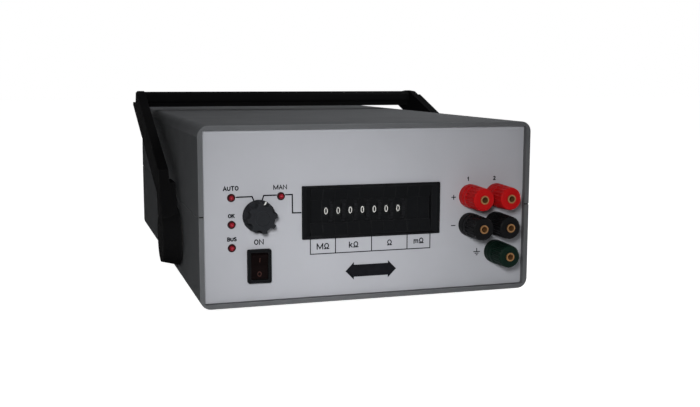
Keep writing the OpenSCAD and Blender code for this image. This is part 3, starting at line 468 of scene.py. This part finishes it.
# marks on the rocker, whose lower face stands upright at rest while the upper one leans in
ROCKER_X, ROCKER_Z, ROCKER_FACE, ROCKER_TILT = -73.4, 25.0, 1.3, math.radians(10)
apex = (ROCKER_X, ROCKER_Z - ROCKER_FACE * math.sin(ROCKER_TILT), ROCKER_FACE * math.cos(ROCKER_TILT))
ROCKER_STROKE = 0.6
rocker_marks = (("rocker_on", "I", 3.0, 4.6, 2 * ROCKER_TILT), ("rocker_off", "O", 3.4, -4.8, 0))
for name, words, height, middle, lean in rocker_marks:
    bm = bmesh.new()
    letters(bm, words, height, ROCKER_STROKE, middle=(0, middle))
    mark = solid(bm, name)
    mark.transform(Matrix.Translation(spot(*apex)) @ Matrix.Rotation(lean, 4, "X") @ STAND)
    place(name, mark, dull_ink, "rocker")

# numerals bent round the drums
DRUM_R, DRUM_W, DRUM_SHIFT = 9.0, 3.7, 0.15
NUMERAL_TALL, NUMERAL_STROKE, NUMERAL_SQUEEZE = 4.4, 0.48, 0.76
for k in range(1, 8):
    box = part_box("digit_wheel_%d" % k)
    drum_x = box[0][0] + (DRUM_W / 2 + DRUM_SHIFT) * MM
    axis = Vector((drum_x, (box[0][1] + box[1][1]) / 2, (box[0][2] + box[1][2]) / 2))
    whole = bmesh.new()
    for n in range(10):
        first = len(whole.verts)
        letters(whole, str(n), NUMERAL_TALL, NUMERAL_STROKE, squeeze=NUMERAL_SQUEEZE, longest=0.6,
            thick=0.05)
        whole.verts.ensure_lookup_table()
        for v in whole.verts[first:]:
            a = v.co.y / (DRUM_R * MM) + math.radians(36 * n)
            r = DRUM_R * MM + v.co.z
            v.co = axis + Vector((v.co.x, -r * math.cos(a), r * math.sin(a)))
    place("numerals_%d" % k, solid(whole, "numerals"), white_ink, "wheel_%d" % k)

# floor and light
bpy.ops.mesh.primitive_plane_add(size=8, location=(0, 0.8, 0))
floor = bpy.context.object
floor.name = "floor"
fm, ft, fp = tree("floor_white")
ft.nodes.remove(fp)
out = ft.nodes["Material Output"]
path = add(ft, "ShaderNodeLightPath")
seen = add(ft, "ShaderNodeMath", operation="MAXIMUM")
ft.links.new(path.outputs["Is Camera Ray"], seen.inputs[0])
shiny = add(ft, "ShaderNodeMath", operation="MAXIMUM")
ft.links.new(path.outputs["Is Glossy Ray"], shiny.inputs[0])
ft.links.new(path.outputs["Is Transmission Ray"], shiny.inputs[1])
ft.links.new(shiny.outputs["Value"], seen.inputs[1])
plain = add(ft, "ShaderNodeBsdfDiffuse")
plain.inputs["Color"].default_value = (0.85, 0.85, 0.85, 1)
glow = add(ft, "ShaderNodeEmission")
glow.inputs["Strength"].default_value = 0.985
shade = add(ft, "ShaderNodeBsdfDiffuse")
shade.inputs["Color"].default_value = (0.40, 0.40, 0.40, 1)
both = add(ft, "ShaderNodeAddShader")
ft.links.new(glow.outputs["Emission"], both.inputs[0])
ft.links.new(shade.outputs["BSDF"], both.inputs[1])
pick = add(ft, "ShaderNodeMixShader")
ft.links.new(seen.outputs["Value"], pick.inputs["Fac"])
ft.links.new(plain.outputs["BSDF"], pick.inputs[1])
ft.links.new(both.outputs["Shader"], pick.inputs[2])
ft.links.new(pick.outputs["Shader"], out.inputs["Surface"])
floor.data.materials.append(fm)

world = bpy.data.worlds.new("studio")
scene.world = world
world.use_nodes = True
wt = world.node_tree
path = add(wt, "ShaderNodeLightPath")
seen = add(wt, "ShaderNodeMath", operation="MAXIMUM")
shiny = add(wt, "ShaderNodeMath", operation="MAXIMUM")
wt.links.new(path.outputs["Is Camera Ray"], seen.inputs[0])
wt.links.new(path.outputs["Is Glossy Ray"], shiny.inputs[0])
wt.links.new(path.outputs["Is Transmission Ray"], shiny.inputs[1])
wt.links.new(shiny.outputs["Value"], seen.inputs[1])
level = add(wt, "ShaderNodeMapRange")
level.inputs["To Min"].default_value = 0.055
level.inputs["To Max"].default_value = 1.0
wt.links.new(seen.outputs["Value"], level.inputs["Value"])
wt.links.new(level.outputs["Result"], wt.nodes["Background"].inputs["Strength"])
wt.nodes["Background"].inputs["Color"].default_value = (1, 1, 1, 1)


def lamp(name, at, target, size, power, spread=180):
    d = bpy.data.lights.new(name, "AREA")
    d.size = size
    d.spread = math.radians(spread)
    d.energy = power
    o = bpy.data.objects.new(name, d)
    o.location = at
    o.rotation_euler = (Vector(target) - Vector(at)).to_track_quat("-Z", "Y").to_euler()
    o.visible_camera = False
    scene.collection.objects.link(o)


lamp("key", (-0.215, PANEL_Y - 0.530, 0.209), (-0.0155, PANEL_Y, 0.027), 0.08, 0.245, 52)
lamp("top", (0.22, -0.05, 0.46), (0.06, -0.05, 0.117), 0.25, 0.88)
lamp("back", (0.25, 1.55, 0.05), (0.0, 0.17, 0.07), 0.12, 15)
lamp("right", (1.55, 0.05, 0.10), (0.11, 0.0, 0.07), 0.25, 13)
